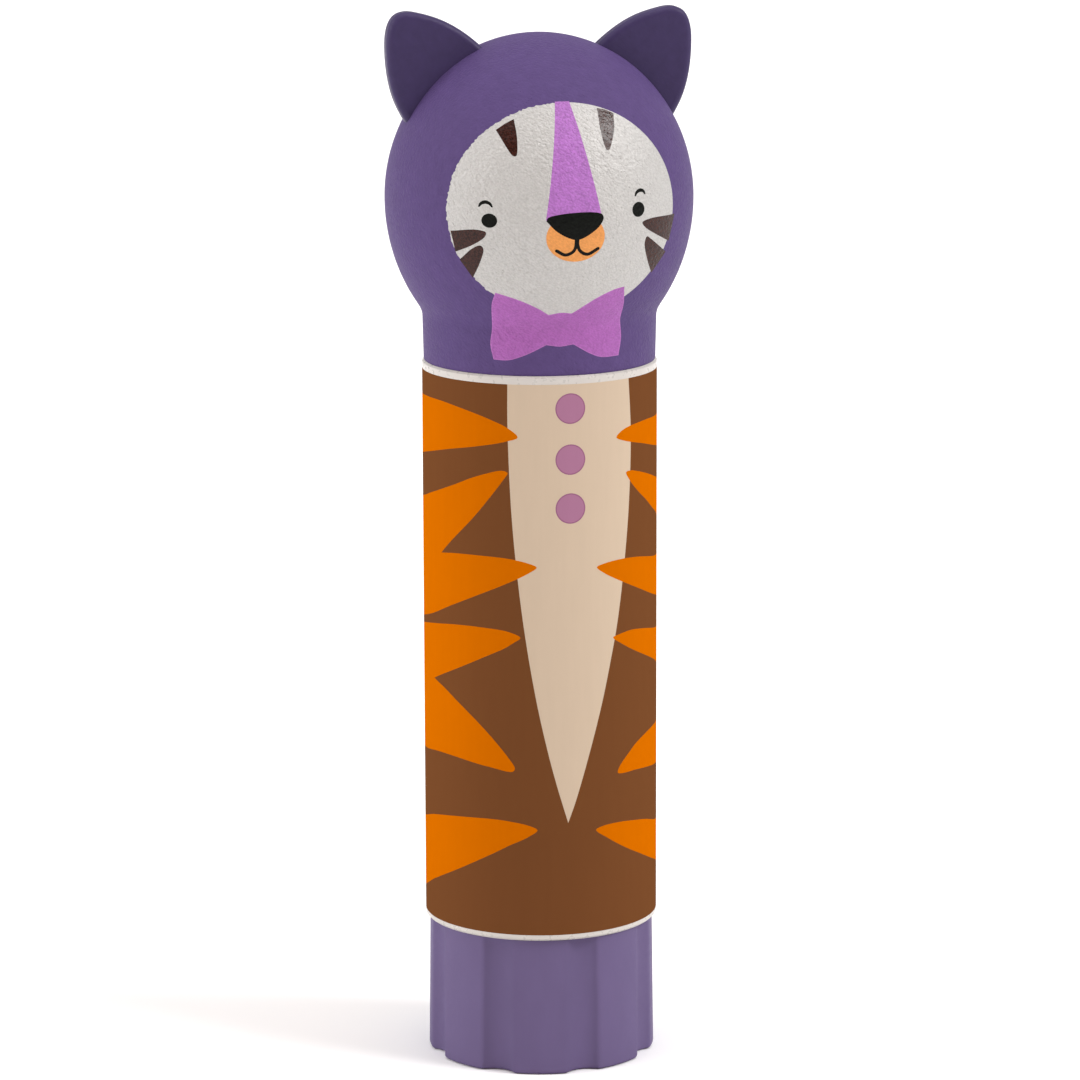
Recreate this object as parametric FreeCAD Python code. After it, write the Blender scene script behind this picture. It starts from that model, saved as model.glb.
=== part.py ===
import FreeCAD, Part
import math
import os

Vector = FreeCAD.Vector

# Twist-up craft glue stick with a figural pull-off cap: a round hooded animal head with two ears.
# Millimetres. +Z is up along the axis, -Y is the front that the face looks towards, and z = 0 is the
# bottom of the knob. Heights below are measured from there, radii from the axis.

# ---- driving dimensions ----
BARREL_R = 12.5          # outside radius of the barrel's two rims and of the label
BARREL_Z0 = 14.92        # bottom of the barrel
LABEL_Z0 = 15.55         # the label fills the shallow seat between the rims
LABEL_Z1 = 74.88
SHOULDER_Z = 75.75       # top of the upper rim, where the collar starts
COLLAR_Z1 = 84.4         # open mouth of the barrel
LABEL_T = 0.1            # film thickness
SEAM_T = 0.08            # extra height where the film laps over itself at the back
SEAM_HALF_DEG = 7.0
SEAM_DEG = 182.1         # azimuth of the lap, from the front
BORE_R = 9.6             # barrel bore, filled by the glue
COLLAR_R = 10.5
BEAD_R = 10.64           # snap bead round the collar
BEAD_Z = 80.0
BEAD_H = 1.0
EDGE = 0.2               # small chamfers on moulded rims

CLIP_BORE_R = 10.9       # counterbore at the barrel's foot, which takes the knob's sleeve
CLIP_BORE_Z1 = 23.2
CLIP_BEAD_R = 10.45      # inward bead that holds the knob's sleeve
CLIP_BEAD_Z0 = 17.0
CLIP_BEAD_Z1 = 18.0
KEYWAY_R = 10.7          # four keyways keep the carrier from turning
KEYWAY_W = 3.0
KEYWAY_Z1 = 74.0
KEYWAY_COUNT = 4

KNOB_TOP = 14.8          # just clear of the barrel's lower rim
KNOB_R0 = 12.22          # at the foot
KNOB_R1 = 12.04          # at the top, after the moulding draft
FLUTE_COUNT = 8
FLUTE_CUT_R = 2.5        # radius of each flute's hollow
FLUTE_FLOOR_R = 11.3
FLUTE_PHASE = 9.8        # azimuth of the first flute from the front, towards +X
FLUTE_EDGE_R = 0.7
KNOB_FOOT_EDGE = 0.45    # rounding of the edge that the stick stands on
FOOT_RING_R = 9.8        # the floor is recessed inside this ring
FOOT_RECESS = 0.8
KNOB_FLOOR_Z = 3.0
KNOB_BORE_R = 9.5
SLEEVE_R = 10.75
SLEEVE_Z1 = 22.5
SLEEVE_GROOVE_R = 10.3
SLEEVE_GROOVE_PLAY = 0.2
HUB_R = 6.0
HUB_Z1 = 11.0
HEX_AF = 7.0             # socket across its flats
HEX_PLAY = 0.02
HEX_Z0 = 4.0
KNOB_RIB_T = 1.2
KNOB_RIB_COUNT = 6
KNOB_RIB_Z1 = 9.0

SCREW_ROOT_R = 2.5
SCREW_CREST_R = 3.4
SCREW_LEAD = 4.5         # carrier rise for each full turn of the knob
SCREW_Z0 = 21.0
SCREW_Z1 = 77.5
SCREW_FLANGE_R = 5.8
SCREW_FLANGE_T = 1.3
RIDGE_ROOT_HALF = 0.95   # half width of the screw ridge at its root and at its crest
RIDGE_CREST_HALF = 0.45
SCREW_PLAY = 0.2
NUT_TURNS = 4            # turns cut for the nut, from one lead below the screw's own start

CARRIER_Z0 = 23.5
CARRIER_FLOOR_T = 1.5
CARRIER_Z1 = 32.0
CARRIER_R = 9.35
CARRIER_WALL = 0.7
BOSS_R = 5.2
BOSS_Z1 = 30.5
LUG_R = 10.45
LUG_W = 2.6
LUG_H = 4.0
CARRIER_RIB_T = 0.9
CARRIER_RIB_H = 1.6

GLUE_R = 9.4
GLUE_Z1 = 83.2
GLUE_BEVEL = 1.0
GLUE_BORE_R = 3.85
GLUE_BORE_Z1 = 78.5
GLUE_GAP = 0.05          # between the cast glue and the carrier that holds it

CAP_Z0 = 75.85           # lower edge of the cap, just above the barrel's rim
NECK_R0 = 12.32
NECK_R1 = 12.44
HEAD_Z = 93.0            # height of the head's widest ring
HEAD_A = 16.335          # radius there
HEAD_UP = 17.3           # from the widest ring up to the crown
HEAD_DOWN = 18.36        # lower half's vertical semi-axis
NECK_FILLET = 1.0
NECK_BORE_R = 11.4
CAVITY_A = 14.7
CAVITY_UP = 15.7
CAVITY_DOWN = 16.8

LINER_R = 11.36
LINER_BORE_R = 10.7
LINER_Z0 = 75.95
LINER_Z1 = 103.4
LINER_CEILING = 102.6
LINER_TOP_R = 3.0        # rounding of the liner's top edge, outside and inside
LINER_TOP_R_IN = 2.3
LINER_GROOVE_R = 10.85
LINER_GROOVE_H = 1.5

EAR_T = 2.4
EAR_EDGE_R = 0.7
# Outline of an ear in the x-z plane, as (distance from the axis, height), from one end inside the head
# over the tip to the other end inside the head.
EAR_OUTLINE = [
    (5.2, 108.0), (7.74, 110.27), (10.3, 111.8), (12.9, 112.63), (14.5, 112.78), (15.5, 112.33),
    (16.15, 111.2), (16.4, 108.8), (16.2, 106.3), (15.5, 103.5), (14.4, 101.3), (12.6, 98.6),
]
TAB_AT = (10.95, 105.62)  # where the ear's tab crosses the head's surface
TAB_TILT = 45.0
TAB_W = 6.0
TAB_T = 1.6
TAB_IN = 2.2             # from the surface into the head
TAB_OUT = 0.9            # from the surface into the ear
TAB_PLAY = 0.06

AXIS = Vector(0, 0, 1)
ORIGIN = Vector(0, 0, 0)


# ---- helpers ----
def turned(profile):
    """A solid of revolution about the axis from a closed outline of (radius, height) corners."""
    corners = [Vector(r, 0, z) for r, z in profile]
    wire = Part.makePolygon(corners + [corners[0]])
    return Part.Face(wire).revolve(ORIGIN, AXIS, 360)


def cylinder(radius, z0, z1):
    return Part.makeCylinder(radius, z1 - z0, Vector(0, 0, z0))


def tube(r_out, r_in, z0, z1, sweep=360):
    """A round tube, or a sector of one that starts at azimuth +X."""
    outside = Part.makeCylinder(r_out, z1 - z0, Vector(0, 0, z0), AXIS, sweep)
    return outside.cut(cylinder(r_in, z0 - 1, z1 + 1))


def around(shape, count, phase=0.0):
    """Copies of the shape at equal angles about the axis."""
    copies = []
    for i in range(count):
        copy = shape.copy()
        copy.rotate(ORIGIN, AXIS, phase + 360.0 * i / count)
        copies.append(copy)
    return copies


def domed(radius, z0, z1, rounding):
    """A cylinder whose top edge is rounded."""
    body = cylinder(radius, z0, z1)
    top = [e for e in body.Edges if e.BoundBox.ZMin > z1 - 0.01]
    return body.makeFillet(rounding, top)


def radial_bar(width, r0, r1, z0, z1):
    """A bar along +X between two radii, centred on y = 0."""
    return Part.makeBox(r1 - r0, width, z1 - z0, Vector(r0, -width / 2, z0))


def hexagon(across_flats, z0, z1):
    corner = across_flats / math.sqrt(3)
    angles = [math.radians(60 * i) for i in range(7)]
    points = [Vector(corner * math.cos(a), corner * math.sin(a), z0) for a in angles]
    return Part.Face(Part.makePolygon(points)).extrude(Vector(0, 0, z1 - z0))


def egg(a, up, down):
    """Closed solid of revolution of two half ellipses that meet at the head's widest ring."""
    side = Vector(a, 0, HEAD_Z)
    crown = Vector(0, 0, HEAD_Z + up)
    foot = Vector(0, 0, HEAD_Z - down)
    middle = Vector(0, 0, HEAD_Z)
    upper = Part.ArcOfEllipse(Part.Ellipse(crown, side, middle), 0, math.pi / 2).toShape()
    lower = Part.ArcOfEllipse(Part.Ellipse(foot, side, middle), 0, math.pi / 2).toShape()
    spine = Part.makeLine(foot, crown)
    wire = Part.Wire(Part.__sortEdges__([upper, lower, spine]))
    return Part.Face(wire).revolve(ORIGIN, AXIS, 360)


def screw_ridge(play, z0, turns):
    """The helical ridge of the screw, grown by play for the nut that runs on it."""
    root = SCREW_ROOT_R - 0.3
    crest = SCREW_CREST_R + play
    root_half = RIDGE_ROOT_HALF + play
    crest_half = RIDGE_CREST_HALF + play
    corners = [(root, -root_half), (crest, -crest_half), (crest, crest_half), (root, root_half)]
    points = [Vector(r, 0, z) for r, z in corners]
    section = Part.makePolygon(points + [points[0]])
    helix = Part.makeHelix(SCREW_LEAD, SCREW_LEAD * turns, SCREW_ROOT_R)
    ridge = Part.Wire(helix).makePipeShell([section], True, True)
    ridge.translate(Vector(0, 0, z0))
    return ridge


# ---- the pieces ----
def make_knob():
    """Fluted twist knob with a clip sleeve on top, a hub with a hexagon socket and ribs inside."""
    body = Part.makeCone(KNOB_R0, KNOB_R1, KNOB_TOP)
    cutter = cylinder(FLUTE_CUT_R, -1, KNOB_TOP + 1)
    cutter.translate(Vector(FLUTE_FLOOR_R + FLUTE_CUT_R, 0, 0))
    for flute in around(cutter, FLUTE_COUNT, FLUTE_PHASE - 90):
        body = body.cut(flute)
    upright = [e for e in body.Edges if abs(e.BoundBox.ZLength - KNOB_TOP) < 0.01]
    body = body.makeFillet(FLUTE_EDGE_R, upright)
    foot = [e for e in body.Edges if e.BoundBox.ZMax < 0.01]
    body = body.makeFillet(KNOB_FOOT_EDGE, foot)
    body = body.fuse(cylinder(SLEEVE_R, KNOB_TOP - 1, SLEEVE_Z1))
    body = body.cut(cylinder(KNOB_BORE_R, KNOB_FLOOR_Z, SLEEVE_Z1 + 1))
    body = body.cut(cylinder(FOOT_RING_R, -1, FOOT_RECESS))
    groove_z0 = CLIP_BEAD_Z0 - SLEEVE_GROOVE_PLAY
    groove_z1 = CLIP_BEAD_Z1 + SLEEVE_GROOVE_PLAY
    body = body.cut(tube(SLEEVE_R + 1, SLEEVE_GROOVE_R, groove_z0, groove_z1))
    body = body.fuse(cylinder(HUB_R, KNOB_FLOOR_Z - 1, HUB_Z1))
    rib = radial_bar(KNOB_RIB_T, HUB_R - 0.5, KNOB_BORE_R + 0.5, KNOB_FLOOR_Z - 0.5, KNOB_RIB_Z1)
    for bar in around(rib, KNOB_RIB_COUNT):
        body = body.fuse(bar)
    return body.cut(hexagon(HEX_AF, HEX_Z0, HUB_Z1 + 1)).removeSplitter()


def make_spindle():
    """Screw that stands in the knob: hexagon foot, flange, plain shank, then a coarse helical ridge."""
    flange_z1 = HUB_Z1 + SCREW_FLANGE_T
    body = hexagon(HEX_AF - 2 * HEX_PLAY, HEX_Z0 + HEX_PLAY, HUB_Z1)
    body = body.fuse(cylinder(SCREW_FLANGE_R, HUB_Z1, flange_z1))
    core = turned([(0, flange_z1 - 0.5), (SCREW_ROOT_R, flange_z1 - 0.5), (SCREW_ROOT_R, SCREW_Z1 - 1),
                   (SCREW_ROOT_R - 1, SCREW_Z1), (0, SCREW_Z1)])
    turns = (SCREW_Z1 - 2.5 - SCREW_Z0) / SCREW_LEAD
    return body.fuse(core).fuse(screw_ridge(0, SCREW_Z0, turns)).removeSplitter()


def make_barrel():
    """Outer tube with rims above and below the label, a collar for the cap and keyways down its bore."""
    seat = BARREL_R - LABEL_T
    body = turned([
        (BORE_R, BARREL_Z0), (BARREL_R - EDGE, BARREL_Z0), (BARREL_R, BARREL_Z0 + EDGE),
        (BARREL_R, LABEL_Z0), (seat, LABEL_Z0), (seat, LABEL_Z1), (BARREL_R, LABEL_Z1),
        (BARREL_R, SHOULDER_Z - EDGE), (BARREL_R - EDGE, SHOULDER_Z), (COLLAR_R, SHOULDER_Z),
        (COLLAR_R, BEAD_Z - BEAD_H / 2), (BEAD_R, BEAD_Z - BEAD_H / 4), (BEAD_R, BEAD_Z + BEAD_H / 4),
        (COLLAR_R, BEAD_Z + BEAD_H / 2), (COLLAR_R, COLLAR_Z1 - EDGE), (COLLAR_R - EDGE, COLLAR_Z1),
        (BORE_R, COLLAR_Z1),
    ])
    body = body.cut(cylinder(CLIP_BORE_R, BARREL_Z0 - 1, CLIP_BEAD_Z0))
    body = body.cut(cylinder(CLIP_BEAD_R, BARREL_Z0 - 1, CLIP_BORE_Z1))
    body = body.cut(cylinder(CLIP_BORE_R, CLIP_BEAD_Z1, CLIP_BORE_Z1))
    keyway = radial_bar(KEYWAY_W, BORE_R - 1, KEYWAY_R, CLIP_BORE_Z1 - 0.5, KEYWAY_Z1)
    for slot in around(keyway, KEYWAY_COUNT, 45):
        body = body.cut(slot)
    return body


def make_label():
    """Printed film wrapped round the barrel, with a narrow lap of double thickness at the back."""
    film = tube(BARREL_R, BARREL_R - LABEL_T, LABEL_Z0, LABEL_Z1)
    lap = tube(BARREL_R + SEAM_T, BARREL_R - LABEL_T / 2, LABEL_Z0, LABEL_Z1, 2 * SEAM_HALF_DEG)
    lap.rotate(ORIGIN, AXIS, SEAM_DEG - SEAM_HALF_DEG - 90)
    return film.fuse(lap)


def carrier_ribs(grow=0.0):
    """Ribs on the carrier's floor, grown by grow for the slots that they leave in the glue."""
    width = CARRIER_RIB_T + 2 * grow
    outer_r = CARRIER_R - CARRIER_WALL + 0.3
    floor_z1 = CARRIER_Z0 + CARRIER_FLOOR_T
    bar = radial_bar(width, BOSS_R - 0.3, outer_r, floor_z1 - 0.3, floor_z1 + CARRIER_RIB_H + grow)
    return around(bar, KEYWAY_COUNT)


def make_carrier():
    """Threaded cup that grips the foot of the glue and climbs the screw, keyed to the barrel by lugs."""
    cup_r = CARRIER_R - CARRIER_WALL
    floor_z1 = CARRIER_Z0 + CARRIER_FLOOR_T
    body = cylinder(CARRIER_R, CARRIER_Z0, CARRIER_Z1).cut(cylinder(cup_r, floor_z1, CARRIER_Z1 + 1))
    body = body.fuse(cylinder(BOSS_R, CARRIER_Z0, BOSS_Z1))
    for rib in carrier_ribs():
        body = body.fuse(rib)
    lug = radial_bar(LUG_W, cup_r + 0.2, LUG_R, CARRIER_Z0, CARRIER_Z0 + LUG_H)
    for key in around(lug, KEYWAY_COUNT, 45):
        body = body.fuse(key)
    body = body.cut(cylinder(SCREW_ROOT_R + SCREW_PLAY, CARRIER_Z0 - 1, BOSS_Z1 + 1))
    return body.cut(screw_ridge(SCREW_PLAY, SCREW_Z0 - SCREW_LEAD, NUT_TURNS))


def make_glue():
    """Glue cast round the carrier's boss, with a blind bore that clears the screw."""
    foot_r = CARRIER_R - CARRIER_WALL - GLUE_GAP
    floor_z1 = CARRIER_Z0 + CARRIER_FLOOR_T + GLUE_GAP
    body = turned([
        (BOSS_R + GLUE_GAP, floor_z1), (foot_r, floor_z1), (foot_r, CARRIER_Z1 + GLUE_GAP),
        (GLUE_R, CARRIER_Z1 + GLUE_GAP), (GLUE_R, GLUE_Z1 - GLUE_BEVEL), (GLUE_R - GLUE_BEVEL, GLUE_Z1),
        (0, GLUE_Z1), (0, GLUE_BORE_Z1), (GLUE_BORE_R, GLUE_BORE_Z1), (GLUE_BORE_R, BOSS_Z1 + GLUE_GAP),
        (BOSS_R + GLUE_GAP, BOSS_Z1 + GLUE_GAP),
    ])
    for rib in carrier_ribs(GLUE_GAP):
        body = body.cut(rib)
    return body


def head_solid():
    """The cap's full outer form: the neck with its draft, blended into the head."""
    head = egg(HEAD_A, HEAD_UP, HEAD_DOWN)
    join_z = HEAD_Z - HEAD_DOWN * math.sqrt(1 - (NECK_R1 / HEAD_A) ** 2)
    neck = Part.makeCone(NECK_R0, NECK_R1, join_z - CAP_Z0, Vector(0, 0, CAP_Z0))
    above = cylinder(HEAD_A + 5, join_z, HEAD_Z + HEAD_UP + 5)
    form = head.common(above).fuse(neck).removeSplitter()
    joint = [e for e in form.Edges
             if abs(e.BoundBox.ZMin - join_z) < 0.01 and e.BoundBox.ZLength < 0.01]
    form = form.makeFillet(NECK_FILLET, joint)
    rim = [e for e in form.Edges if e.BoundBox.ZMax < CAP_Z0 + 0.01]
    return form.makeChamfer(0.12, rim)


def ear_tab(side, grow=0.0):
    """The flat tab that stakes an ear into the head's slot, grown by grow for the slot itself."""
    width = TAB_W + 2 * grow
    thick = TAB_T + 2 * grow
    corner = Vector(-width / 2, -thick / 2, -TAB_IN - grow)
    tab = Part.makeBox(width, thick, TAB_IN + TAB_OUT + grow, corner)
    tab.rotate(ORIGIN, Vector(0, 1, 0), TAB_TILT)
    tab.translate(Vector(TAB_AT[0], 0, TAB_AT[1]))
    if side < 0:
        tab = tab.mirror(ORIGIN, Vector(1, 0, 0))
    return tab


def make_ear(side, head):
    """Flat ear in the plane of the axis; side is +1 towards +X and -1 towards -X."""
    outline = Part.BSplineCurve()
    outline.interpolate([Vector(x, -EAR_T / 2, z) for x, z in EAR_OUTLINE])
    base = Part.makeLine(outline.EndPoint, outline.StartPoint)
    plate = Part.Face(Part.Wire([outline.toShape(), base])).extrude(Vector(0, EAR_T, 0))
    rims = [e for e in plate.Edges if e.BoundBox.YLength < 0.01 and e.BoundBox.ZMax > HEAD_Z + HEAD_UP]
    plate = plate.makeFillet(EAR_EDGE_R, rims)
    if side < 0:
        plate = plate.mirror(ORIGIN, Vector(1, 0, 0))
    return plate.cut(head).fuse(ear_tab(side))


def make_cap_shell(head):
    """Hollow cap in the shape of a hooded head on a short neck, with a slot for each ear."""
    shell = head.cut(egg(CAVITY_A, CAVITY_UP, CAVITY_DOWN))
    shell = shell.cut(cylinder(NECK_BORE_R, CAP_Z0 - 1, HEAD_Z - 5))
    for side in (-1, 1):
        shell = shell.cut(ear_tab(side, TAB_PLAY))
    return shell


def make_cap_liner():
    """Closed inner cup that seals on the barrel's collar and snaps over its bead."""
    outside = domed(LINER_R, LINER_Z0, LINER_Z1, LINER_TOP_R)
    inside = domed(LINER_BORE_R, LINER_Z0 - 1, LINER_CEILING, LINER_TOP_R_IN)
    groove = turned([
        (LINER_BORE_R - 1, BEAD_Z - LINER_GROOVE_H / 2), (LINER_BORE_R, BEAD_Z - LINER_GROOVE_H / 2),
        (LINER_GROOVE_R, BEAD_Z - BEAD_H / 2), (LINER_GROOVE_R, BEAD_Z + BEAD_H / 2),
        (LINER_BORE_R, BEAD_Z + LINER_GROOVE_H / 2), (LINER_BORE_R - 1, BEAD_Z + LINER_GROOVE_H / 2),
    ])
    return outside.cut(inside).cut(groove)


def main():
    os.makedirs("parts", exist_ok=True)
    head = head_solid()
    pieces = {
        "knob": make_knob(),
        "spindle": make_spindle(),
        "barrel": make_barrel(),
        "label": make_label(),
        "carrier": make_carrier(),
        "glue": make_glue(),
        "cap_shell": make_cap_shell(head),
        "cap_liner": make_cap_liner(),
        "ear_left": make_ear(-1, head),
        "ear_right": make_ear(1, head),
    }
    for name, shape in pieces.items():
        solids = shape.Solids
        box = shape.optimalBoundingBox()
        print(f"{name}: {len(solids)} solid, valid {shape.isValid()}, {shape.Volume:.1f} mm3, "
              f"z {box.ZMin:.2f} to {box.ZMax:.2f}, {box.XLength:.2f} x {box.YLength:.2f}")
        solids[0].exportStep(f"parts/{name}.step")


main()
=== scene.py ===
import math
import random

import bpy
import numpy as np
from mathutils import Matrix, Vector
from mathutils.geometry import delaunay_2d_cdt


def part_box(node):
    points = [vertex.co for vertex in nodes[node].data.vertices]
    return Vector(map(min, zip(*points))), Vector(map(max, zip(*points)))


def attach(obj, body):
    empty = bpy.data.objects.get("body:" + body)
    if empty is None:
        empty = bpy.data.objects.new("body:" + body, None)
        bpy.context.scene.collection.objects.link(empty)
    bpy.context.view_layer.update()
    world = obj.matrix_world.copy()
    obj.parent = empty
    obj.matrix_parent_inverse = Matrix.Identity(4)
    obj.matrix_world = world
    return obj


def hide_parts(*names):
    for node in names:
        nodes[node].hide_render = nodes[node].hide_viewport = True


# A craft glue stick whose cap is a tiger in a purple hood. The CAD frame gives the barrel, the knob, the
# ears and the works inside. This script adds the printed film round the barrel and the painted cap, as
# meshes cut along the outlines of their printed art, and the materials, light and camera.
# Art is laid out in millimetres and degrees. An angle is counted from the front (-Y) towards +X.

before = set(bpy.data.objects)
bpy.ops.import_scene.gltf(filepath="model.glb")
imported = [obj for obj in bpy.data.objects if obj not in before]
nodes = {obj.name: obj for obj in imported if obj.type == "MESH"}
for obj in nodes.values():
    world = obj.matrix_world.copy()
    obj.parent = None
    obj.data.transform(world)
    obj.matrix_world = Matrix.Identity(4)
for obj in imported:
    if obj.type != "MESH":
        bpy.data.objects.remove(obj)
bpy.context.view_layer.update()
MM = 0.001

label_lo, label_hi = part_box("label")
cap_lo, cap_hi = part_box("cap_shell")

# ---- driving dimensions, in millimetres and degrees ----
FILM_R = label_hi.x / MM         # outside of the printed film
FILM_Z0 = label_lo.z / MM
FILM_Z1 = label_hi.z / MM
FILM_T = 0.08
FILM_AIR = 0.002                 # between the lap at the back and the film beneath it
FILM_END = 187.0                 # half of its turn: it laps over itself by 14 degrees at the back
FILM_CLIMB = (160.0, 172.0)      # where it climbs over its own start
FILM_FRONT = 2.1                 # the label's centre line, from the face's
FILM_COLUMNS = 250
FILM_ROWS = 61

PAINT_DROP = 0.08                # the paint reaches below the cap, down to the barrel's shoulder
CAP_Z0 = cap_lo.z / MM - PAINT_DROP
HEAD_A = cap_hi.x / MM           # the head's widest radius
HEAD_TOP = cap_hi.z / MM
HEAD_Z = 93.0                    # height of the widest ring
HEAD_UP = HEAD_TOP - HEAD_Z
HEAD_DOWN = 18.36
NECK_R0 = 12.32                  # neck radius at the rim and where it meets the head
NECK_R1 = 12.44
NECK_TOP = 81.1
RIM_CHAMFER = 0.04
NECK_BLEND = 0.5                 # softness of the valley between neck and head
NECK_BORE_R = 11.4
CAVITY = (14.7, 15.7, 16.8)      # radius, height above and depth below the widest ring
CROWN_Z = 105.2                  # above this the cap has no print
FIRST_ROW = 0.5                  # height of the first row of facets above the rim
COLUMNS = 240                    # facets round the cap
CAP_ROWS = 68                    # rows of facets where the cap has print, on the crown and inside
CROWN_ROWS = 28
HOLLOW_ROWS = 26

# ---- the camera ----
CAMERA_AZIMUTH = -12.33          # degrees from the front towards +X
CAMERA_PITCH = 11.447
CAMERA_ROLL = -0.167
CAMERA_DISTANCE = 518.38         # along the floor, in millimetres
CAMERA_HEIGHT = 160.88
CAMERA_LENS = 164.52
CAMERA_SENSOR = 36

# ---- the light and the floor ----
KEY_LIGHT = 2.1
LEFT_LIGHT = 1.85
TOP_LIGHT = 1.25
WORLD_SIDE = 0.64                # the world's brightness beside and behind the object
WORLD_FRONT = 0.17               # and in front of it
WORLD_FRONT_TINT = (1.0, 0.55, 0.3)
FLOOR_SIZE = 24                  # metres
FLOOR_DROP = 0.02
FLOOR_WHITE = 0.97


def srgb(red, green, blue):
    """Linear colour from 0-255 screen values."""
    def linear(v):
        v /= 255
        return v / 12.92 if v <= 0.04045 else ((v + 0.055) / 1.055) ** 2.4
    return (linear(red), linear(green), linear(blue), 1.0)


# ---- inks and plastics ----
CAP_PURPLE = srgb(84, 67, 113)
EAR_PURPLE = srgb(59, 48, 85)
KNOB_PURPLE = srgb(100, 87, 124)
FACE_WHITE = srgb(184, 182, 180)
LILAC = srgb(164, 103, 178)
BOW_LILAC = srgb(157, 90, 163)
BOW_EDGE = srgb(168, 104, 172)
INK_BLACK = srgb(7, 9, 6)
MUZZLE_ORANGE = srgb(216, 145, 79)
STRIPE_BROWN = srgb(50, 24, 19)
FILM_BROWN = srgb(105, 65, 37)
FILM_ORANGE = srgb(191, 97, 0)
FILM_CREAM = srgb(192, 173, 152)
BUTTON_MAUVE = srgb(157, 109, 137)
BUTTON_RING = srgb(141, 91, 121)
PLASTIC_WHITE = srgb(194, 189, 184)
GLUE_WHITE = srgb(210, 207, 194)


# ---- outlines ----
RAGGED_FROM = 90                 # the turns between which an ellipse can be ragged, in degrees
RAGGED_TO = 235
ROUND_END = 6                    # straight runs round the end of a brush stroke


def spline(points, step):
    """Points at most step apart along a smooth curve through the given ones (centripetal Catmull-Rom)."""
    p = [np.array(q, float) for q in points]
    p = [2 * p[0] - p[1], *p, 2 * p[-1] - p[-2]]
    out = []
    for a, b, c, d in zip(p, p[1:], p[2:], p[3:]):
        t1 = math.sqrt(np.linalg.norm(b - a))
        t2 = t1 + math.sqrt(np.linalg.norm(c - b))
        t3 = t2 + math.sqrt(np.linalg.norm(d - c))
        count = max(1, math.ceil(np.linalg.norm(c - b) / step))
        for k in range(count):
            t = t1 + (t2 - t1) * k / count
            ab = ((t1 - t) * a + t * b) / t1
            bc = ((t2 - t) * b + (t - t1) * c) / (t2 - t1)
            cd = ((t3 - t) * c + (t - t2) * d) / (t3 - t2)
            abc = ((t2 - t) * ab + t * bc) / t2
            bcd = ((t3 - t) * bc + (t - t1) * cd) / (t3 - t1)
            out.append(((t2 - t) * abc + (t - t1) * bcd) / (t2 - t1))
    return [*out, p[-2]]


def closed(step, *strokes):
    """A closed outline from smooth strokes that meet at corners."""
    out = []
    for stroke, following in zip(strokes, [*strokes[1:], strokes[0]]):
        out += spline(stroke, step)[:-1]
        if stroke[-1] != following[0]:
            out += spline([stroke[-1], following[0]], step)[:-1]
    return np.array(out)


def ellipse(x, y, a, b, step, ragged=0.0):
    """A closed ellipse. Part of its edge can be ragged, as print on a grained surface is."""
    count = max(16, math.ceil(2 * math.pi * max(a, b) / step))
    wobble = random.Random(7)
    out = []
    for k in range(count):
        turn = 360 * k / count
        extra = wobble.uniform(-1, 1) * ragged if RAGGED_FROM < turn < RAGGED_TO else 0.0
        across = (a + extra) * math.cos(math.radians(turn))
        up = (b + extra) * math.sin(math.radians(turn))
        out.append((x + across, y + up))
    return np.array(out)


def ribbon(points, width, step, end_share=1.0):
    """The outline of a brush stroke with round ends, which narrows to end_share of its width there."""
    line = np.array(spline(points, step))
    along = np.gradient(line, axis=0)
    along /= np.linalg.norm(along, axis=1)[:, None]
    swell = end_share + (1 - end_share) * np.sin(np.linspace(0, math.pi, len(line)))
    side = np.stack([-along[:, 1], along[:, 0]], 1) * swell[:, None] * width / 2
    out = [*(line + side)]
    for end, sign in ((-1, 1), (0, -1)):
        start = math.atan2(side[end, 1], side[end, 0]) + (0 if sign > 0 else math.pi)
        for k in range(1, ROUND_END):
            turn = start - math.pi * k / ROUND_END
            out.append(line[end] + end_share * width / 2 * np.array([math.cos(turn), math.sin(turn)]))
        if end == -1:
            out += [*(line - side)[::-1]]
    return np.array(out)


def shrunk(outline, by):
    """The outline moved inwards by a small distance."""
    before, after = np.roll(outline, 1, 0), np.roll(outline, -1, 0)
    along = after - before
    along /= np.linalg.norm(along, axis=1)[:, None]
    inwards = np.stack([-along[:, 1], along[:, 0]], 1)
    area = np.sum(outline[:, 0] * after[:, 1] - after[:, 0] * outline[:, 1])
    return outline + inwards * by * (1 if area > 0 else -1)


def inside(points, outline):
    """Which points lie inside a closed outline."""
    found = np.zeros(len(points), bool)
    x, y = points[:, 0], points[:, 1]
    for (x0, y0), (x1, y1) in zip(outline, np.roll(outline, -1, 0)):
        if y0 == y1:
            continue
        crosses = (y0 > y) != (y1 > y)
        found ^= crosses & (x < x0 + (y - y0) * (x1 - x0) / (y1 - y0))
    return found


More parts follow.
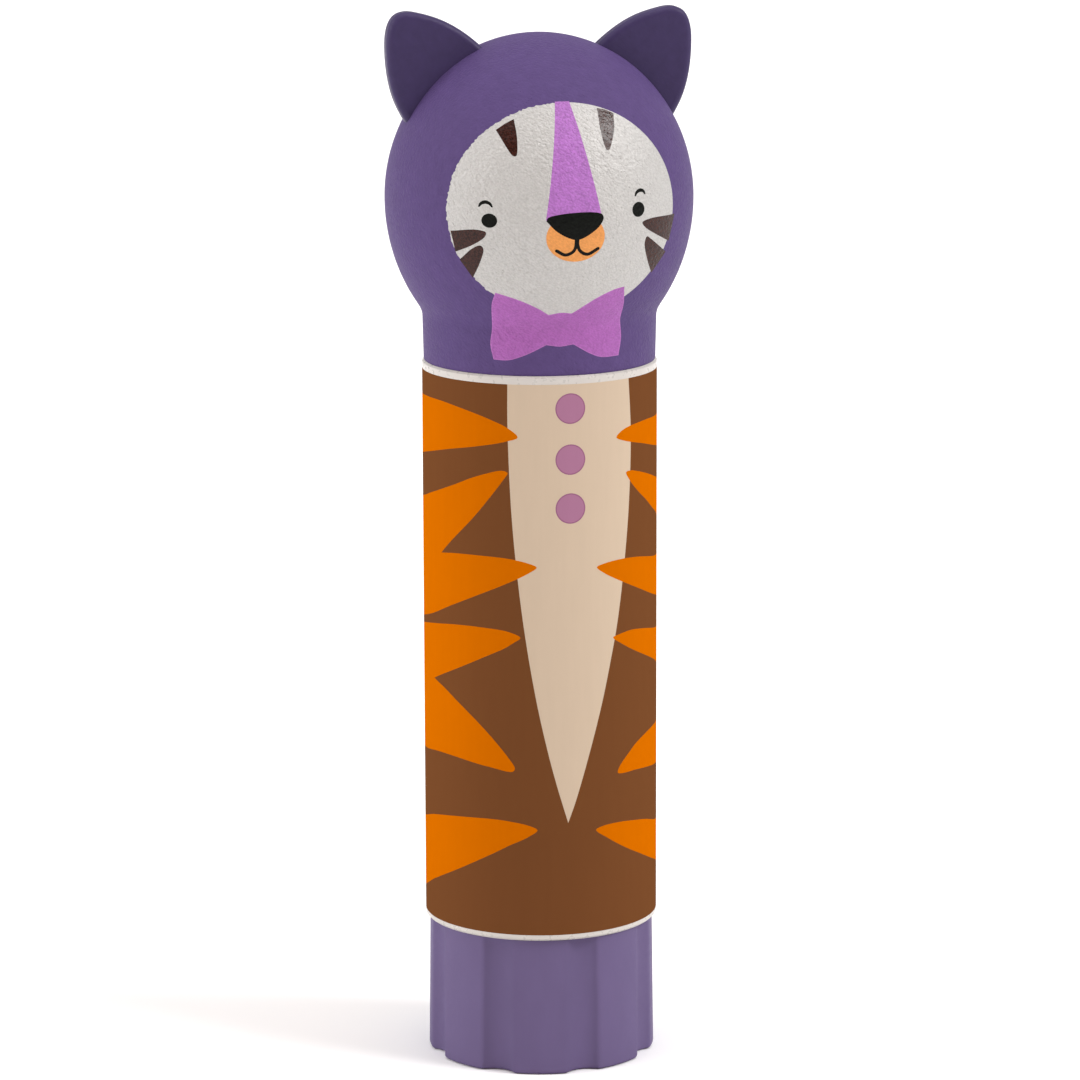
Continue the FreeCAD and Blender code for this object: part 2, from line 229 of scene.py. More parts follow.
def partition(low, high, columns, heights, prints):
    """Triangles over a rectangle, cut along each print's outline. prints is [(ink, outline)], the last
    on top. Returns the points, the triangles and each triangle's ink."""
    xs = np.linspace(low, high, columns + 1)
    grid = np.array([(x, y) for y in heights for x in xs])
    border = (grid[:, 0] == xs[0]) | (grid[:, 0] == xs[-1])
    border |= (grid[:, 1] == heights[0]) | (grid[:, 1] == heights[-1])

    # grid points very near an outline would make slivers, so they are left out
    gap = (xs[1] - xs[0]) * 0.3
    drawn = np.concatenate([outline for _, outline in prints])
    near = np.zeros(len(grid), bool)
    for part in np.array_split(drawn, max(1, len(drawn) // 50)):
        near |= (np.hypot(*(grid[:, None] - part[None]).transpose(2, 0, 1)) < gap).any(1)
    grid = grid[border | ~near]

    points = [Vector(q) for q in grid]
    edges = []
    for _, outline in prints:
        first = len(points)
        points += [Vector(q) for q in outline]
        edges += [(first + k, first + (k + 1) % len(outline)) for k in range(len(outline))]
    flat, _, triangles, *_ = delaunay_2d_cdt(points, edges, [], 0, 1e-6, False)
    flat = np.array([tuple(q) for q in flat])
    triangles = np.array([t for t in triangles if len(t) == 3])

    # each triangle takes the ink of the last print that its middle lies in
    middles = flat[triangles].mean(1)
    ink = np.zeros(len(triangles), int)
    for value, outline in prints:
        box = (middles >= outline.min(0)).all(1) & (middles <= outline.max(0)).all(1)
        candidates = np.flatnonzero(box)
        ink[candidates[inside(middles[candidates], outline)]] = value
    return flat, triangles, ink


def make_mesh(name, points, faces, inks, normals, materials):
    """A mesh object from millimetre points. normals holds one normal for each face corner, or zeros."""
    mesh = bpy.data.meshes.new(name)
    places = [tuple(p) for p in np.asarray(points) * MM]
    mesh.from_pydata(places, [], [tuple(int(i) for i in face) for face in faces])
    for material in materials:
        mesh.materials.append(material)
    mesh.polygons.foreach_set("material_index", [int(i) for i in inks])
    mesh.polygons.foreach_set("use_smooth", [True] * len(faces))
    mesh.update()
    mesh.normals_split_custom_set([tuple(n) for n in normals])
    piece = bpy.data.objects.new(name, mesh)
    bpy.context.scene.collection.objects.link(piece)
    return piece


def polar(angle, radius, z):
    """Points at an angle in degrees from the front, towards +X."""
    turn = np.radians(angle)
    return np.stack([radius * np.sin(turn), -radius * np.cos(turn), z + 0 * turn], -1)


# ---- the label's art: angles from the label's centre line, heights above the foot ----
ARC = FILM_R * math.pi / 180     # millimetres of film for each degree
BELLY = (
    [(-30, FILM_Z1), (-30, 70.2), (-28, 60.4), (-23, 50), (-17, 41.8), (-12, 36.6), (-7, 32.25), (-1, 27.8)],
    [(-1, 27.8), (3, 30.2), (16, 39.7), (22, 44.9), (27, 49.8), (33.7, 60.4), (35.5, 69), (33.8, FILM_Z1)],
)
STRIPES_LEFT = (
    ([(-187, 71.7), (-103, 72.1), (-86, 72.3), (-69, 72.3), (-56, 71.95), (-47, 71.55), (-39, 71.05),
      (-30, 70.25), (-25, 69.3), (-31, 68.8), (-47, 68.05), (-63, 67.4), (-87, 66.3), (-103, 65.7),
      (-187, 65.2)],),
    ([(-187, 61.2), (-103, 61), (-80, 62.2), (-60, 63.7), (-50, 64.6), (-40, 65.35), (-33, 65.7),
      (-30, 65.5), (-32, 64.8), (-40, 62.55), (-50, 60.1), (-71, 56)],
     [(-71, 56), (-60, 56.3), (-45, 56.45), (-30, 56.35), (-20, 55.9), (-16, 55.5), (-20, 54.85),
      (-30, 53.75), (-48, 52), (-64, 50.5), (-80, 49.1), (-103, 47.8), (-135, 45.9)],
     [(-135, 45.9), (-103, 47.1), (-80, 48), (-60, 48.6), (-45, 48.75), (-30, 48.5), (-24, 47.9),
      (-27, 47.4), (-32, 46.7), (-40, 45.85), (-57, 44.1), (-79, 42.06)],
     [(-79, 42.06), (-69, 41.4), (-60, 40.4), (-50, 39), (-40, 37.2), (-30, 34.8), (-27, 33.75),
      (-28, 33.4), (-40, 33.7), (-60, 34.2), (-75, 34.2), (-95, 33.7), (-187, 32.6)]),
    ([(-187, 24.8), (-103, 25.8), (-80, 27), (-60, 27.7), (-40, 28.05), (-30, 27.95), (-20, 27.55),
      (-16, 27.1), (-20, 26.4), (-30, 25.3), (-40, 24.1), (-60, 21.85), (-80, 19.9), (-103, 18),
      (-187, 16.9)],),
)
STRIPES_RIGHT = (
    ([(187, 71.7), (103, 70.3), (66, 69.9), (50, 70), (40, 69.9), (33, 69.7), (28, 69.3), (25.5, 68.8),
      (30, 68.35), (45, 67.6), (66, 66.6), (103, 65.5), (187, 65.2)],),
    ([(187, 61.2), (103, 61.4), (66, 63.2), (50, 64.2), (40, 64.8), (35, 65), (32, 64.9), (35, 63.9),
      (42, 62.5), (48, 61.6), (58, 60.2), (66, 59.4), (92, 56.4)],
     [(92, 56.4), (80, 54.8), (66, 54.7), (40, 55.55), (28, 55.7), (18, 55.5), (14, 55.2), (18, 54.5),
      (24, 53.8), (42, 52.1), (60, 50.7), (103, 48.5), (135, 45.9)],
     [(135, 45.9), (103, 46), (66, 46.8), (45, 47.6), (35, 47.8), (27, 47.6), (23.5, 47.4),
      (30, 46.45), (40, 45.35), (66, 43.15), (108, 39.9)],
     [(108, 39.9), (85, 37.4), (70, 36.4), (60, 36.3), (50, 36), (40, 35.3), (32, 34.1), (28, 33.3),
      (26.5, 32.6), (40, 32.4), (50, 32.2), (66, 31.8), (103, 31.4), (187, 32.6)]),
    ([(187, 24.8), (103, 24.9), (66, 25.6), (50, 26.45), (40, 26.85), (27, 27.15), (17, 27.05),
      (13.5, 26.75), (20, 25.7), (30, 24.4), (42, 23.15), (60, 21.55), (103, 18.8), (187, 16.9)],),
)
BACK_WEDGES = ((54.5, -112), (54.5, 132), (39.5, -112), (39.5, 142))    # height and tip, out of sight behind
WEDGE_HALF = 2.3                 # half heights of a wedge at its end and halfway along
WEDGE_MIDDLE = 1.5
BUTTON_HEIGHTS = (72.3, 66.9, 61.7)
BUTTON_SIDE = 0.5                # degrees from the label's centre line
BUTTON_R = 1.62
BUTTON_RING_W = 0.13
BUTTON_STEP = 0.2
ART_STEP = 0.35                  # longest straight run along the other outlines


def label_prints():
    """[(ink, outline)] on the flat film, in millimetres along and up."""
    brown, orange, cream, mauve, ring = range(5)

    def laid(strokes):
        return closed(ART_STEP, *[[(a * ARC, z) for a, z in stroke] for stroke in strokes])

    def button(z, radius):
        return ellipse(BUTTON_SIDE * ARC, z, radius, radius, BUTTON_STEP)

    prints = [(cream, laid(BELLY))]
    prints += [(orange, laid(strokes)) for strokes in (*STRIPES_LEFT, *STRIPES_RIGHT)]
    for z, tip in BACK_WEDGES:
        end = math.copysign(FILM_END, tip)
        middle = (tip + end) / 2
        wedge = [[(end, z + WEDGE_HALF), (middle, z + WEDGE_MIDDLE), (tip, z)],
                 [(tip, z), (middle, z - WEDGE_MIDDLE), (end, z - WEDGE_HALF)]]
        prints.append((brown, laid(wedge)))
    for z in BUTTON_HEIGHTS:
        prints += [(ring, button(z, BUTTON_R)), (mauve, button(z, BUTTON_R - BUTTON_RING_W))]
    return prints


def make_label(materials):
    """The film: one sheet wound round the barrel, lapped over its own start at the back."""
    heights = np.linspace(FILM_Z0, FILM_Z1, FILM_ROWS)
    end = FILM_END * ARC
    flat, triangles, ink = partition(-end, end, FILM_COLUMNS, heights, label_prints())
    angle = flat[:, 0] / ARC
    climb = np.clip((angle - FILM_CLIMB[0]) / (FILM_CLIMB[1] - FILM_CLIMB[0]), 0, 1)
    radius = FILM_R + (FILM_T + FILM_AIR) * climb ** 2 * (3 - 2 * climb) - FILM_AIR
    outside = polar(angle + FILM_FRONT, radius, flat[:, 1])
    back = polar(angle + FILM_FRONT, radius - FILM_T, flat[:, 1])
    normal = polar(angle + FILM_FRONT, 1.0, 0 * radius)

    # walls along the sheet's free edges join its two sides
    count = len(flat)
    edges = dict.fromkeys(edge for a, b, c in triangles for edge in ((a, b), (b, c), (c, a)))
    rim = [(a, b) for a, b in edges if (b, a) not in edges]
    walls = [(b, a, a + count, b + count) for a, b in rim]
    faces = [*triangles, *(triangles[:, ::-1] + count), *walls]
    back_ink = len(materials) - 1
    inks = [*ink, *[back_ink] * (len(triangles) + len(walls))]
    normals = [*normal[triangles].reshape(-1, 3), *(-normal[triangles[:, ::-1]]).reshape(-1, 3)]
    normals += [(0, 0, 0)] * 4 * len(walls)
    piece = make_mesh("label_film", np.concatenate([outside, back]), faces, inks, normals, materials)
    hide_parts("label")
    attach(piece, "barrel")


# ---- the cap's art: x from the face's centre line and z above the foot, seen straight from the front ----
# An ellipse is its centre and its two half widths.
FACE = (-0.2, 93.25, 11.95, 11.03)
FACE_RAGGED = 0.07
BRIDGE = ([(-1, 104.36), (-1.9, 98.6), (-2.8, 92.6)], [(3.1, 92.9), (1.8, 98.6), (0.5, 104.36)])
MUZZLE = (0.35, 90.75, 3.1, 2.55)
NOSE = ([(-2.75, 92.5), (-2.6, 92.85), (0.5, 93.35), (3.1, 93.1), (3.3, 92.7), (2.9, 91.9), (1.6, 90.9),
         (0.4, 90.5), (-1.5, 91.3), (-2.75, 92.5)],)
MOUTH = (                        # each stroke with its width
    ([(0.45, 90.9), (0.45, 90.4), (0.43, 89.8)], 0.5),
    ([(0.42, 90.2), (0.15, 89.35), (-0.7, 88.95), (-1.65, 89.4)], 0.34),
    ([(0.48, 90.2), (0.8, 89.35), (1.6, 88.95), (2.75, 89.5)], 0.34),
)
EYES = ((-8.3, 92.5, 0.74, 0.74), (7.3, 93.25, 0.73, 0.78))
BROWS = (
    [(-9.25, 93.95), (-9.05, 94.25), (-8.65, 94.4), (-8.25, 94.25), (-8.05, 93.95)],
    [(6.95, 94.7), (7.1, 95.0), (7.5, 95.2), (7.9, 95.1), (8.1, 94.8)],
)
BROW_W = 0.37
BROW_END = 0.45              # share of a brow's width at its ends
FACE_STRIPES = (
    ([(-7.2, 101.6), (-6.3, 102.2), (-5.35, 102.7)],
     [(-5.35, 102.7), (-5.25, 100.8), (-5.5, 99.1), (-5.8, 99.1), (-7.2, 101.6)]),
    ([(3.4, 103.6), (4.3, 103.4), (5.2, 103.0)],
     [(5.2, 103.0), (5.0, 101.4), (4.2, 99.5), (3.95, 99.5), (3.5, 101.2), (3.4, 103.6)]),
    ([(-11.8, 91.2), (-9.5, 91.5), (-8.6, 91.25), (-8.7, 90.8), (-9.6, 90), (-11.3, 89.0)],),
    ([(-10.9, 88.2), (-9.8, 89.5), (-9.1, 89.85), (-8.8, 89.5), (-9.0, 88.2), (-9.6, 86.3)],),
    ([(12.0, 92.2), (8.7, 92.15), (7.8, 91.85), (8.1, 91.35), (11.3, 89.4)],),
    ([(11.0, 88.3), (8.9, 90.0), (8.4, 90.3), (8.15, 89.6), (8.6, 87.8), (9.3, 86.2)],),
)
BOW = (
    [(-7.4, 84.8), (-7.6, 83.5), (-7.25, 80.8), (-7.4, 79), (-7.1, 77.4)],
    [(-7.1, 77.4), (-5.7, 77.4), (-4, 78), (-1.95, 79.05)],
    [(-1.95, 79.05), (-0.5, 78.87), (0.9, 79.05)],
    [(0.9, 79.05), (2.8, 77.95), (4, 77.5), (6.1, 77.45)],
    [(6.1, 77.45), (6.4, 79.5), (6.2, 81.5), (6.3, 83), (6.1, 85.1)],
    [(6.1, 85.1), (5, 84.9), (3, 84.05), (0.5, 82.45)],
    [(0.5, 82.45), (-0.6, 82.58), (-1.9, 82.35)],
    [(-1.9, 82.35), (-3, 83.05), (-5, 84), (-7.4, 84.8)],
)
BOW_RIM = 0.09
FACE_STEP = 0.2                  # longest straight runs along large outlines, small ones and brush strokes
SMALL_STEP = 0.12
STROKE_STEP = 0.1
CHART_R = 15.0                   # radius that turns the cap's angles into millimetres on its chart


def cap_radius(z):
    """The cap's outside radius at a height: a drafted neck, a soft valley, then the egg-shaped head."""
    z = np.asarray(z, float)
    neck = NECK_R0 + (NECK_R1 - NECK_R0) * (z - CAP_Z0) / (NECK_TOP - CAP_Z0)
    neck = neck - np.clip(RIM_CHAMFER - (z - CAP_Z0), 0, None)
    neck = np.where(z < HEAD_Z, neck, 0)
    reach = np.where(z > HEAD_Z, HEAD_UP, HEAD_DOWN)
    head = HEAD_A * np.sqrt(np.clip(1 - ((z - HEAD_Z) / reach) ** 2, 0, 1))
    blend = np.clip(NECK_BLEND - np.abs(neck - head), 0, None) / NECK_BLEND
    return np.maximum(neck, head) + blend ** 2 * NECK_BLEND / 4


def cap_normal(angle, z):
    """Outward unit normals of the cap's outside."""
    step = 0.02
    rise = (cap_radius(z + step) - cap_radius(z - step)) / (2 * step)
    out = polar(angle, 1.0, 0 * rise)
    out[:, 2] = -rise
    return out / np.linalg.norm(out, axis=1)[:, None]


def crown_normal(angle, radius, z):
    """Outward unit normals of the head's upper half."""
    out = polar(angle, radius / HEAD_A ** 2, 0 * np.asarray(angle) + (z - HEAD_Z) / HEAD_UP ** 2)
    return out / np.linalg.norm(out, axis=1)[:, None]


def cap_prints():
    """[(ink, outline)] on the cap's chart, in millimetres round and up."""
    white, lilac, black, orange, brown, edge, bow = range(1, 8)

    def laid(outline):
        angle = np.arcsin(np.clip(outline[:, 0] / cap_radius(outline[:, 1]), -1, 1))
        return np.stack([angle * CHART_R, outline[:, 1]], 1)

    prints = [(white, ellipse(*FACE, FACE_STEP, FACE_RAGGED))]
    prints += [(brown, closed(FACE_STEP, *strokes)) for strokes in FACE_STRIPES]
    prints.append((lilac, closed(FACE_STEP, *BRIDGE)))
    prints.append((orange, ellipse(*MUZZLE, FACE_STEP)))
    prints.append((black, closed(SMALL_STEP, *NOSE)))
    prints += [(black, ribbon(points, width, STROKE_STEP)) for points, width in MOUTH]
    prints += [(black, ellipse(*eye, SMALL_STEP)) for eye in EYES]
    prints += [(black, ribbon(points, BROW_W, STROKE_STEP, BROW_END)) for points in BROWS]
    tie = closed(FACE_STEP, *BOW)
    prints += [(edge, tie), (bow, shrunk(tie, BOW_RIM))]
    return [(ink, laid(outline)) for ink, outline in prints]


def make_cap(materials):
    """The painted cap: its printed outside, a plain crown, and the hollow inside that holds the liner."""
    rows = np.linspace(CAP_Z0 + FIRST_ROW, CROWN_Z, CAP_ROWS)
    heights = np.concatenate([[CAP_Z0, CAP_Z0 + RIM_CHAMFER], rows])
    half = math.pi * CHART_R
    flat, triangles, ink = partition(-half, half, COLUMNS, heights, cap_prints())
    angle = flat[:, 0] / CHART_R * 180 / math.pi
    points = polar(angle, cap_radius(flat[:, 1]), flat[:, 1])
    normal = cap_normal(angle, flat[:, 1])

    # the chart's two side edges are one line at the back
    left = {round(y, 4): k for k, (x, y) in enumerate(flat) if x < -half + 1e-4}
    same = np.arange(len(flat))
    for k in np.flatnonzero(flat[:, 0] > half - 1e-4):
        same[k] = left[round(flat[k, 1], 4)]
    triangles = same[triangles]

    def ring_at(z):
        """Point numbers along one border of the chart, in order round the cap."""
        row = np.flatnonzero((np.abs(flat[:, 1] - z) < 1e-4) & (flat[:, 0] < half - 1e-4))
        return row[np.argsort(flat[row, 0])]

    columns = np.linspace(-180, 180, COLUMNS, endpoint=False)
    points, normal = list(points), list(normal)
    faces, inks, loops = [*triangles], [*ink], [*np.array(normal)[triangles].reshape(-1, 3)]

    def add_rings(ring, rows, shaded):
        """Bands of faces from a ring up through (radius, height) rows, the last of them a single point."""
        for radius, z in rows:
            start = len(points)
            if radius < 1e-6:
                points.append((0, 0, z))
                normal.append((0, 0, 1 if shaded else -1))
                upper = np.full(COLUMNS, start)
            else:
                points.extend(polar(columns, radius, z))
                normal.extend(crown_normal(columns, radius, z))
                upper = np.arange(start, start + COLUMNS)
            for k in range(COLUMNS):
                n = (k + 1) % COLUMNS
                face = [ring[k], ring[n], upper[n], upper[k]]
                if radius < 1e-6:
                    face = face[:3]
                if not shaded:
                    face = face[::-1]
                faces.append(tuple(face))
                inks.append(0)
                loops.extend([normal[i] if shaded else (0, 0, 0) for i in face])
            ring = upper

    crown_start = math.asin((CROWN_Z - HEAD_Z) / HEAD_UP)
    turns = np.linspace(crown_start, math.pi / 2, CROWN_ROWS)[1:]
    crown = [(HEAD_A * math.cos(t), HEAD_Z + HEAD_UP * math.sin(t)) for t in turns]
    crown[-1] = (0, crown[-1][1])
    add_rings(ring_at(CROWN_Z), crown, True)

    radius, up, down = CAVITY
    join = math.asin(-math.sqrt(1 - (NECK_BORE_R / radius) ** 2))
    turns = np.linspace(join, math.pi / 2, HOLLOW_ROWS)
    hollow = [(radius * math.cos(t), HEAD_Z + (up if t > 0 else down) * math.sin(t)) for t in turns]
    hollow[-1] = (0, hollow[-1][1])
    add_rings(ring_at(CAP_Z0), [(NECK_BORE_R, CAP_Z0), *hollow], False)

    piece = make_mesh("cap_painted", points, faces, inks, loops, materials)
    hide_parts("cap_shell")
    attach(piece, "cap")


# ---- materials ----
BRUSH_SLOPE = 35                 # the strokes' fall to the right, in degrees
BRUSH_STRETCH = 1.8
GLOW_DEPTH = 0.6                 # how far light goes into a skin that glows, in millimetres
GLOW_SHARES = (1.0, 0.9, 0.8)    # and its share for each colour


def new_material(name):
    """A material, its node tree, its shader and the socket for places on the object."""
    material = bpy.data.materials.new(name)
    material.use_nodes = True
    tree = material.node_tree
    shader = tree.nodes["Principled BSDF"]
    place = tree.nodes.new("ShaderNodeTexCoord").outputs["Object"]
    return material, tree, shader, place


def noise(tree, place, per_mm, detail=2.0, stretch=(1, 1, 1)):
    """A noise value; per_mm is its cells for each millimetre."""
    if stretch != (1, 1, 1):
        mapping = tree.nodes.new("ShaderNodeMapping")
        mapping.inputs["Scale"].default_value = stretch
        tree.links.new(place, mapping.inputs["Vector"])
        place = mapping.outputs["Vector"]
    node = tree.nodes.new("ShaderNodeTexNoise")
    node.inputs["Scale"].default_value = per_mm / MM
    node.inputs["Detail"].default_value = detail
    tree.links.new(place, node.inputs["Vector"])
    return node.outputs["Fac"]


def spread(tree, value, low, high, from_low=0.3, from_high=0.7):
    """The value stretched from its usual range to low..high."""
    node = tree.nodes.new("ShaderNodeMapRange")
    node.inputs["From Min"].default_value = from_low
    node.inputs["From Max"].default_value = from_high
    node.inputs["To Min"].default_value = low
    node.inputs["To Max"].default_value = high
    tree.links.new(value, node.inputs["Value"])
    return node.outputs["Result"]


def scaled(tree, colour, factor):
    """A colour socket times a value."""
    node = tree.nodes.new("ShaderNodeVectorMath")
    node.operation = "SCALE"
    tree.links.new(colour, node.inputs[0])
    tree.links.new(factor, node.inputs["Scale"])
    return node.outputs["Vector"]


def plain(tree, colour):
    """A colour socket."""
    node = tree.nodes.new("ShaderNodeRGB")
    node.outputs[0].default_value = colour
    return node.outputs[0]


def tint(tree, colour, value, amount):
    """The colour made a little darker and lighter by a value."""
    return scaled(tree, colour, spread(tree, value, 1 - amount, 1 + amount))


def bump(tree, height, depth, under=None):
    """A bumped normal; depth is in millimetres, and under is a normal to lay the bumps on."""
    node = tree.nodes.new("ShaderNodeBump")
    node.inputs["Distance"].default_value = depth * MM
    node.inputs["Strength"].default_value = 1.0
    tree.links.new(height, node.inputs["Height"])
    if under is not None:
        tree.links.new(under, node.inputs["Normal"])
    return node.outputs["Normal"]


def brushed(tree, place):
    """Places for a pattern that is drawn out along the brush strokes, which slope across the face."""
    mapping = tree.nodes.new("ShaderNodeMapping")
    mapping.vector_type = "TEXTURE"
    mapping.inputs["Rotation"].default_value = (0, math.radians(BRUSH_SLOPE), 0)
    mapping.inputs["Scale"].default_value = (BRUSH_STRETCH, 1, 1)
    tree.links.new(place, mapping.inputs["Vector"])
    return mapping.outputs["Vector"]


def painted(name, colour, gloss, vary, grain, specular, glint_specks=0.0, pearl=0.0):
    """Paint or ink on the cap: a brushed skin with fine pores, gloss that changes with it, and light and dark
    specks painted into its colour as glints and shade off its grain. Pearl is how far it mirrors the room as
    a pearly paint does."""
    material, tree, shader, place = new_material(name)
    tone = plain(tree, colour)
    strokes = brushed(tree, place)
    peel = noise(tree, strokes, per_mm=3.4, detail=3.0)
    # light and dark specks painted into the colour: painted glints and painted shade off the grain
    if glint_specks:
        tone = tint(tree, tone, noise(tree, strokes, per_mm=7.5, detail=0.0), glint_specks)
    fine = noise(tree, place, per_mm=7.0)
    cells = tree.nodes.new("ShaderNodeTexVoronoi")
    cells.feature = "F1"
    cells.inputs["Scale"].default_value = 2.6 / MM
    tree.links.new(place, cells.inputs["Vector"])
    pores = spread(tree, cells.outputs["Distance"], 0, 1, from_low=0.0, from_high=0.35)
    skin = bump(tree, peel, 0.045 * grain)
    skin = bump(tree, pores, 0.012 * grain, skin)
    skin = bump(tree, fine, 0.01 * grain, skin)
    tree.links.new(skin, shader.inputs["Normal"])
    clouds = noise(tree, place, per_mm=0.9, detail=5.0)
    tree.links.new(tint(tree, tone, clouds, vary), shader.inputs["Base Color"])
    tree.links.new(spread(tree, peel, gloss - 0.06, gloss + 0.08), shader.inputs["Roughness"])
    shader.inputs["Specular IOR Level"].default_value = specular
    shader.inputs["Metallic"].default_value = pearl
    return material


def film(name, colour):
    """Ink on the barrel's film: matt, with faint streaks up and down."""
    material, tree, shader, place = new_material(name)
    tone = plain(tree, colour)
    skin = bump(tree, noise(tree, place, per_mm=0.12, stretch=(1, 1, 0.4)), 0.01)
    skin = bump(tree, noise(tree, place, per_mm=6.0), 0.0015, skin)
    tree.links.new(skin, shader.inputs["Normal"])
    streaks = noise(tree, place, per_mm=1.4, detail=6.0, stretch=(1, 1, 0.1))
    tree.links.new(tint(tree, tone, streaks, 0.012), shader.inputs["Base Color"])
    dull = spread(tree, noise(tree, place, per_mm=3.0, detail=3.0), 0.5, 0.58)
    tree.links.new(dull, shader.inputs["Roughness"])
    shader.inputs["Specular IOR Level"].default_value = 0.0
    return material


def rounded(tree, place, share):
    """A shading normal that is turned part of the way to straight out from the axis, so that flutes and
    edges look soft."""
    outward = tree.nodes.new("ShaderNodeVectorMath")
    outward.operation = "MULTIPLY"
    tree.links.new(place, outward.inputs[0])
    outward.inputs[1].default_value = (1, 1, 0)
    unit = tree.nodes.new("ShaderNodeVectorMath")
    unit.operation = "NORMALIZE"
    tree.links.new(outward.outputs["Vector"], unit.inputs[0])
    turn = tree.nodes.new("ShaderNodeVectorTransform")
    turn.vector_type = "NORMAL"
    turn.convert_from = "OBJECT"
    turn.convert_to = "WORLD"
    tree.links.new(unit.outputs["Vector"], turn.inputs["Vector"])
    node = tree.nodes.new("ShaderNodeMix")
    node.data_type = "VECTOR"
    node.inputs["Factor"].default_value = share
    tree.links.new(tree.nodes.new("ShaderNodeNewGeometry").outputs["Normal"], node.inputs["A"])
    tree.links.new(turn.outputs["Vector"], node.inputs["B"])
    length = tree.nodes.new("ShaderNodeVectorMath")
    length.operation = "NORMALIZE"
    tree.links.new(node.outputs["Result"], length.inputs[0])
    return length.outputs["Vector"]


def moulded(name, colour, gloss, vary, wave, specular, glow=0.0, soft=0.0, pearl=0.0):
    """A moulded surface: slight flow marks along the axis, and a fine dull grain. Soft is how far its
    flutes and edges are shaded as if rounded, and glow is how much light goes through its skin."""
    material, tree, shader, place = new_material(name)
    tone = plain(tree, colour)
    skin = rounded(tree, place, soft) if soft else None
    skin = bump(tree, noise(tree, place, per_mm=0.5, stretch=(1, 1, 0.25)), wave, skin)
    skin = bump(tree, noise(tree, place, per_mm=5.0, detail=3.0), 0.003, skin)
    tree.links.new(skin, shader.inputs["Normal"])
    marks = noise(tree, place, per_mm=0.35, detail=5.0, stretch=(1, 1, 0.5))
    tree.links.new(tint(tree, tone, marks, vary), shader.inputs["Base Color"])
    dull = spread(tree, noise(tree, place, per_mm=2.0, detail=3.0), gloss - 0.05, gloss + 0.05)
    tree.links.new(dull, shader.inputs["Roughness"])
    shader.inputs["Specular IOR Level"].default_value = specular
    shader.inputs["Metallic"].default_value = pearl
    if glow:
        shader.inputs["Subsurface Weight"].default_value = glow
        shader.inputs["Subsurface Radius"].default_value = GLOW_SHARES
        shader.inputs["Subsurface Scale"].default_value = GLOW_DEPTH * MM
    return material


def dress(node, material):
    """Give a node of the CAD its material."""
    nodes[node].material_slots[0].material = material


# ---- pieces ----
make_label([
    film("film_brown", FILM_BROWN),
    film("film_orange", FILM_ORANGE),
    film("film_cream", FILM_CREAM),
    film("film_mauve", BUTTON_MAUVE),
    film("film_mauve_ring", BUTTON_RING),
    film("film_back", PLASTIC_WHITE),
])
make_cap([
    painted("cap_purple", CAP_PURPLE, 0.55, vary=0.05, grain=2.5, specular=0.08),
    painted("face_white", FACE_WHITE, 0.42, vary=0.02, grain=4.0, specular=0.5, glint_specks=0.08, pearl=0.18),
    painted("bridge_lilac", LILAC, 0.4, vary=0.06, grain=4.0, specular=0.3, glint_specks=0.14),
    painted("ink_black", INK_BLACK, 0.35, vary=0.1, grain=2.0, specular=0.1, glint_specks=0.6),
    painted("muzzle_orange", MUZZLE_ORANGE, 0.45, vary=0.05, grain=3.0, specular=0.2, glint_specks=0.07),
    painted("stripe_brown", STRIPE_BROWN, 0.15, vary=0.08, grain=1.4, specular=0.25, glint_specks=0.5),
    painted("bow_edge", BOW_EDGE, 0.45, vary=0.05, grain=2.5, specular=0.2, glint_specks=0.1),
    painted("bow_lilac", BOW_LILAC, 0.42, vary=0.05, grain=3.0, specular=0.25, glint_specks=0.1),
])
white_plastic = moulded("white_plastic", PLASTIC_WHITE, 0.3, vary=0.015, wave=0.02, specular=0.35, pearl=0.15)
ear_paint = painted("ear_purple", EAR_PURPLE, 0.45, vary=0.06, grain=0.6, specular=0.18)
knob_plastic = moulded("knob_purple", KNOB_PURPLE, 0.55, vary=0.03, wave=0.02, specular=0.12, soft=0.6)
glue_paste = moulded("glue_paste", GLUE_WHITE, 0.5, vary=0.02, wave=0.06, specular=0.4, glow=0.3)
dress("knob", knob_plastic)
for name in ("barrel", "spindle", "carrier", "cap_liner"):
    dress(name, white_plastic)
for name in ("ear_left", "ear_right"):
    dress(name, ear_paint)
dress("glue", glue_paste)


# ---- floor, light and camera ----
def make_floor():
    """A plain white floor just under the foot."""
    bpy.ops.mesh.primitive_plane_add(size=FLOOR_SIZE, location=(0, 0, -FLOOR_DROP * MM))
    floor = bpy.context.object
    floor.name = "floor"
    material, tree, shader, place = new_material("floor_white")
    white = plain(tree, (*[FLOOR_WHITE] * 3, 1))
    clouds = noise(tree, place, per_mm=0.02)
    tree.links.new(tint(tree, white, clouds, 0.004), shader.inputs["Base Color"])
    shader.inputs["Roughness"].default_value = 0.7
    shader.inputs["Specular IOR Level"].default_value = 0.2
    floor.data.materials.append(material)


def softbox(name, azimuth, elevation, width, strength):
    """A distant soft light. Azimuth counts from the front towards +X, and width is in degrees."""
    light = bpy.data.lights.new(name, "SUN")
    light.angle = math.radians(width)
    light.energy = strength
    lamp = bpy.data.objects.new(name, light)
    turn, lift = math.radians(azimuth), math.radians(elevation)
    way = Vector((math.sin(turn) * math.cos(lift), -math.cos(turn) * math.cos(lift), math.sin(lift)))
    lamp.location = way
    lamp.rotation_euler = (-way).to_track_quat("-Z", "Y").to_euler()
    bpy.context.scene.collection.objects.link(lamp)


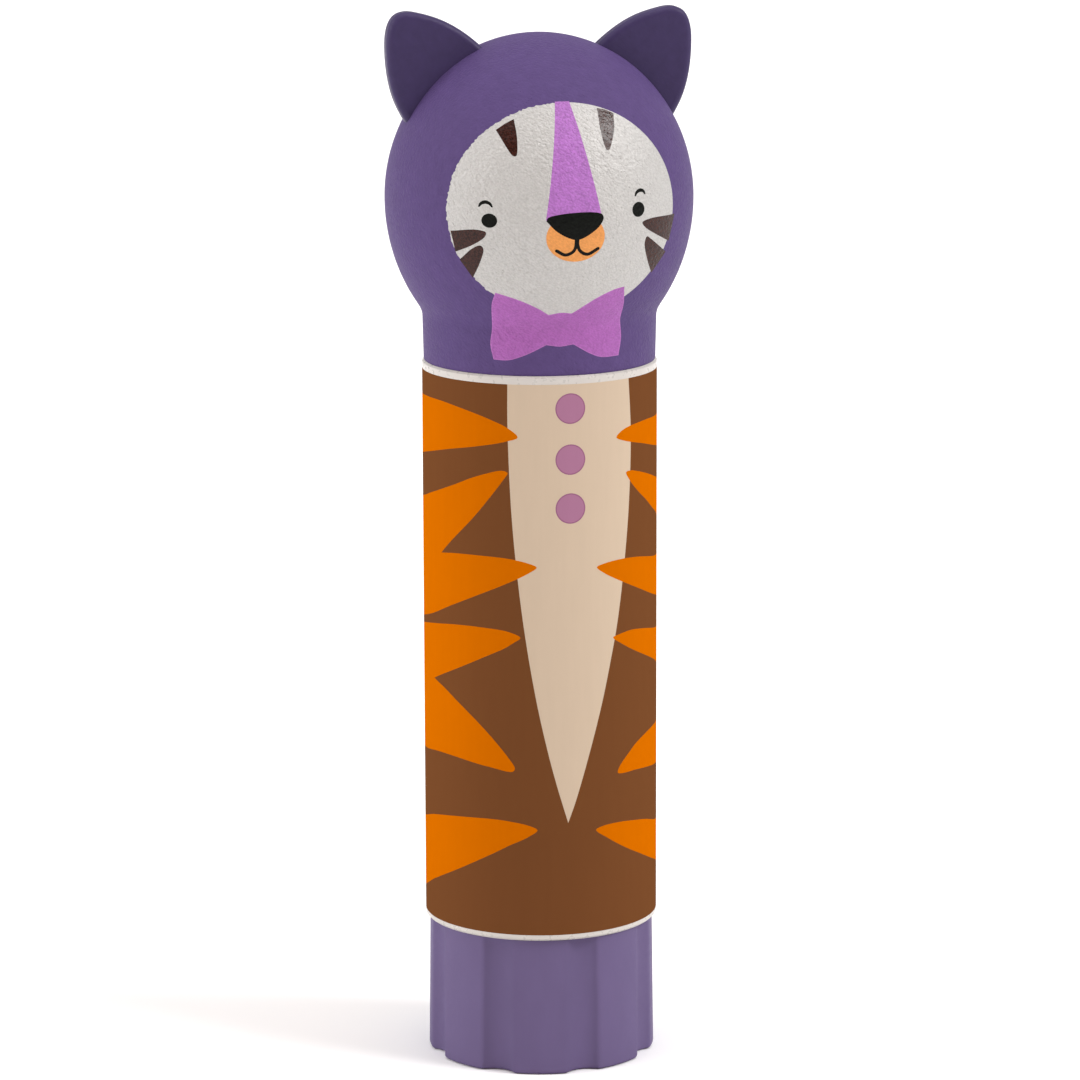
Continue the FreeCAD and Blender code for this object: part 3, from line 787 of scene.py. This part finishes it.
def make_world():
    """A white studio that is dimmer and warmer on the camera's side, where the room is. The backdrop
    itself is seen as plain white."""
    world = bpy.data.worlds.new("studio")
    bpy.context.scene.world = world
    world.use_nodes = True
    tree = world.node_tree
    sky = tree.nodes["Background"]
    way = tree.nodes.new("ShaderNodeTexCoord").outputs["Generated"]
    facing = tree.nodes.new("ShaderNodeVectorMath")
    facing.operation = "DOT_PRODUCT"
    turn = math.radians(CAMERA_AZIMUTH)
    facing.inputs[1].default_value = (math.sin(turn), -math.cos(turn), 0)
    tree.links.new(way, facing.inputs[0])
    ramp = tree.nodes.new("ShaderNodeMix")
    ramp.data_type = "RGBA"
    ramp.inputs["A"].default_value = (*[WORLD_SIDE] * 3, 1)
    ramp.inputs["B"].default_value = (*[WORLD_FRONT * c for c in WORLD_FRONT_TINT], 1)
    frontness = spread(tree, facing.outputs["Value"], 0, 1, from_low=-0.2, from_high=0.8)
    tree.links.new(frontness, ramp.inputs["Factor"])
    seen = tree.nodes.new("ShaderNodeLightPath").outputs["Is Camera Ray"]
    pick = tree.nodes.new("ShaderNodeMix")
    pick.data_type = "RGBA"
    tree.links.new(seen, pick.inputs["Factor"])
    tree.links.new(ramp.outputs["Result"], pick.inputs["A"])
    pick.inputs["B"].default_value = (1, 1, 1, 1)
    tree.links.new(pick.outputs["Result"], sky.inputs["Color"])


def make_camera():
    """The camera, on the line of sight that the dimensions at the top give."""
    camera = bpy.data.objects.new("camera", bpy.data.cameras.new("camera"))
    camera.data.lens = CAMERA_LENS
    camera.data.sensor_width = CAMERA_SENSOR
    camera.data.clip_start = 0.01
    camera.data.clip_end = 50
    turn, pitch = math.radians(CAMERA_AZIMUTH), math.radians(CAMERA_PITCH)
    x, y = math.sin(turn) * CAMERA_DISTANCE, -math.cos(turn) * CAMERA_DISTANCE
    camera.location = Vector((x, y, CAMERA_HEIGHT)) * MM
    look = Matrix.Rotation(turn, 4, "Z") @ Matrix.Rotation(math.radians(90) - pitch, 4, "X")
    look = look @ Matrix.Rotation(math.radians(CAMERA_ROLL), 4, "Z")
    camera.rotation_euler = look.to_euler()
    bpy.context.scene.collection.objects.link(camera)
    bpy.context.scene.camera = camera


make_floor()
make_world()
softbox("key_right", azimuth=58.6, elevation=40, width=25, strength=KEY_LIGHT)
softbox("fill_left", azimuth=-92, elevation=20, width=60, strength=LEFT_LIGHT)
softbox("top", azimuth=-12, elevation=85, width=60, strength=TOP_LIGHT)
make_camera()
bpy.context.scene.view_settings.view_transform = "Standard"
